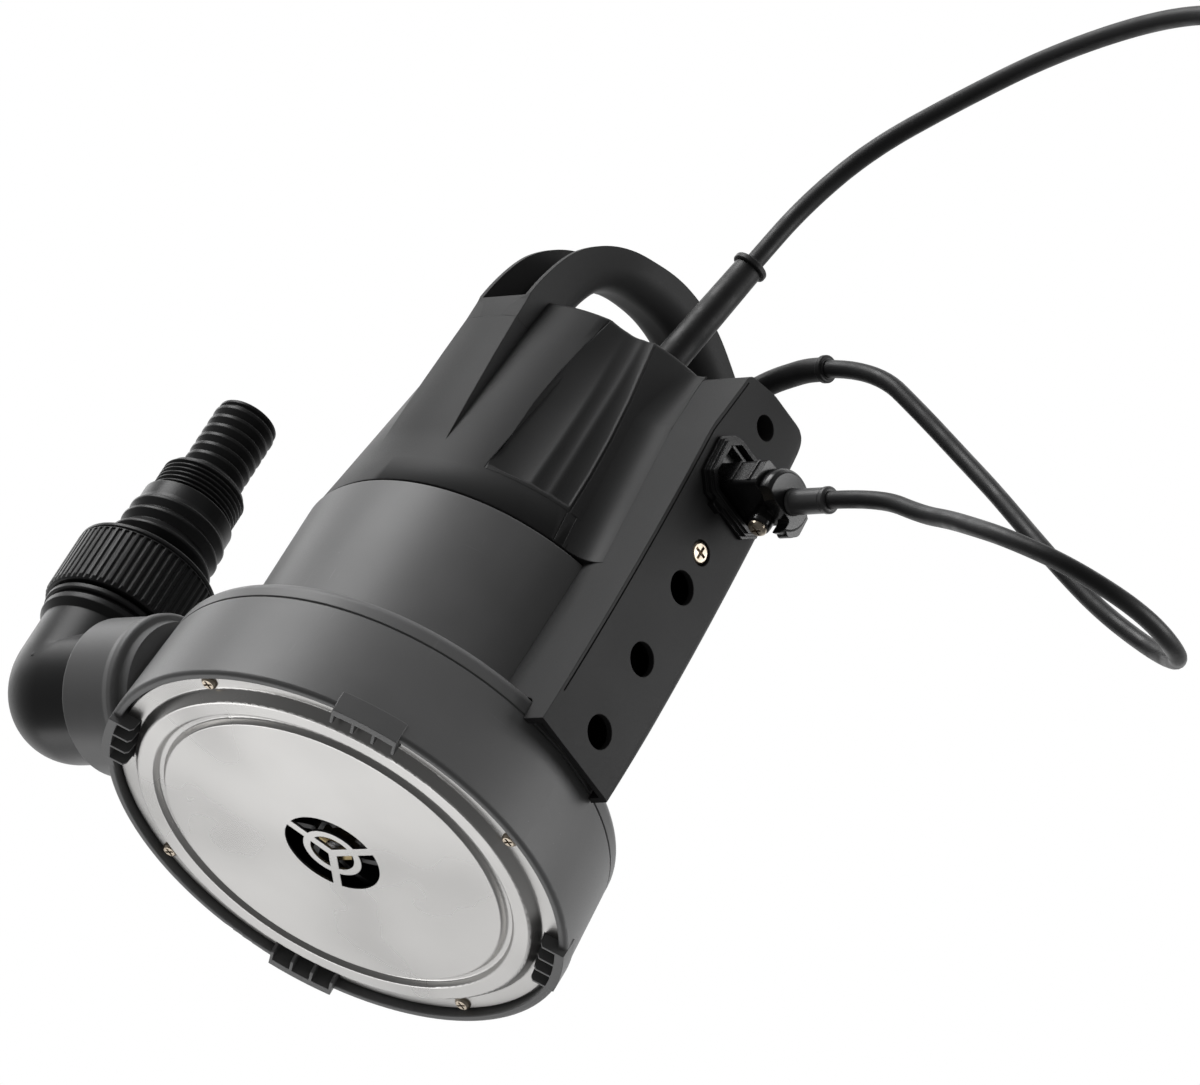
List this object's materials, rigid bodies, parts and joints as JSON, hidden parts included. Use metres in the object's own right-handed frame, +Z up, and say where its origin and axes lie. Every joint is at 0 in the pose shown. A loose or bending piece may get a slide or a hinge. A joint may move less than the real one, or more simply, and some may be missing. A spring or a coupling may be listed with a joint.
{
  "type": "submersible sump pump",
  "caption": "Submersible sump pump: round skirted base with strainer plate, motor housing, carrying handle, level sensor on a holed rail, side outlet with elbow and stepped hose adapter.",
  "frame": {"origin": "pump axis, in the plane the feet stand on; the plate's inner face is 1.06 mm above it", "axes": "+Z up along the motor shaft, +X towards the level rail, the handle runs along Y, the outlet leaves along -X on the -Y side"},
  "size_m": [0.4504, 0.4109, 0.3762],
  "materials": {
    "casing_plastic": "moulded, satin grey",
    "cover_plastic": "moulded, satin dark grey",
    "fitting_plastic": "moulded, satin black",
    "gloss_black": "moulded, gloss black",
    "stainless": "pressed stainless, lightly scratched",
    "screw_steel": "plated steel",
    "shaft_steel": "ground",
    "laminations": "stacked sheets, varnished",
    "copper": "enamelled wire, varnished",
    "rotor_metal": "cast and turned",
    "impeller_plastic": "glass filled, black",
    "cord_rubber": "matt rubber sheath",
    "seal_rubber": "soft rubber",
    "bracket_alloy": "die cast",
    "capacitor_plastic": "pale plastic can",
    "brass": "turned brass"
  },
  "bodies": {
    "pump": {"base_casing": "casing_plastic", "lower_housing": "casing_plastic", "upper_cover": "cover_plastic", "carrying_handle": "cover_plastic", "level_rail": "cover_plastic", "suction_plate": "stainless", "plate_screws": "screw_steel", "plate_gasket": "seal_rubber", "seal_carrier": "impeller_plastic", "tie_screws": "screw_steel", "shaft_seal": "seal_rubber", "lower_bearing": "shaft_steel", "upper_bearing": "shaft_steel", "upper_bracket": "bracket_alloy", "stator_core": "laminations", "windings": "copper", "motor_can": "stainless", "run_capacitor": "capacitor_plastic", "capacitor_cradle": "impeller_plastic", "terminal_block": "capacitor_plastic", "housing_seal": "seal_rubber", "rail_screws": "screw_steel", "sensor_bezel": "gloss_black", "sensor_body": "gloss_black", "sensor_clamp": "gloss_black", "sensor_screw": "screw_steel", "sensor_sleeve": "fitting_plastic", "power_cord_sleeve": "cord_rubber", "sensor_cable_sleeve": "cord_rubber", "sensor_cable": "cord_rubber", "power_cord": "cord_rubber", "power_cord_coil": "cord_rubber", "power_cord_tail": "cord_rubber", "plug_body": "fitting_plastic", "plug_pins": "brass"},
    "rotor": {"rotor_shaft": "shaft_steel", "rotor_core": "rotor_metal", "impeller": "impeller_plastic", "impeller_nut": "brass"},
    "elbow": {"outlet_elbow": "fitting_plastic", "elbow_seal": "seal_rubber", "union_gasket": "seal_rubber"},
    "adapter": {"hose_adapter": "fitting_plastic"},
    "nut": {"union_nut": "fitting_plastic"}
  },
  "joints": [
    {"name": "impeller_spin", "type": "hinge", "parent": "pump", "child": "rotor", "pos_m": [0, 0, 0.1], "axis": [0, 0, 1], "continuous": true},
    {"name": "elbow_swivel", "type": "hinge", "parent": "pump", "child": "elbow", "pos_m": [-0.09, -0.0544, 0.0315], "axis": [-1, 0, 0], "range_deg": [-90, 45]},
    {"name": "adapter_lift", "type": "slide", "parent": "elbow", "child": "adapter", "axis": [0, 0, 1], "range_m": [0, 0.01385]},
    {"name": "union_nut_turn", "type": "hinge", "parent": "adapter", "child": "nut", "pos_m": [-0.1179, -0.0544, 0.08], "axis": [0, 0, 1], "range_deg": [0, 2160]}
  ],
  "couplings": [
    {"joint": "union_nut_turn", "follows": "adapter_lift", "rad_per_m": 2721.2}
  ]
}
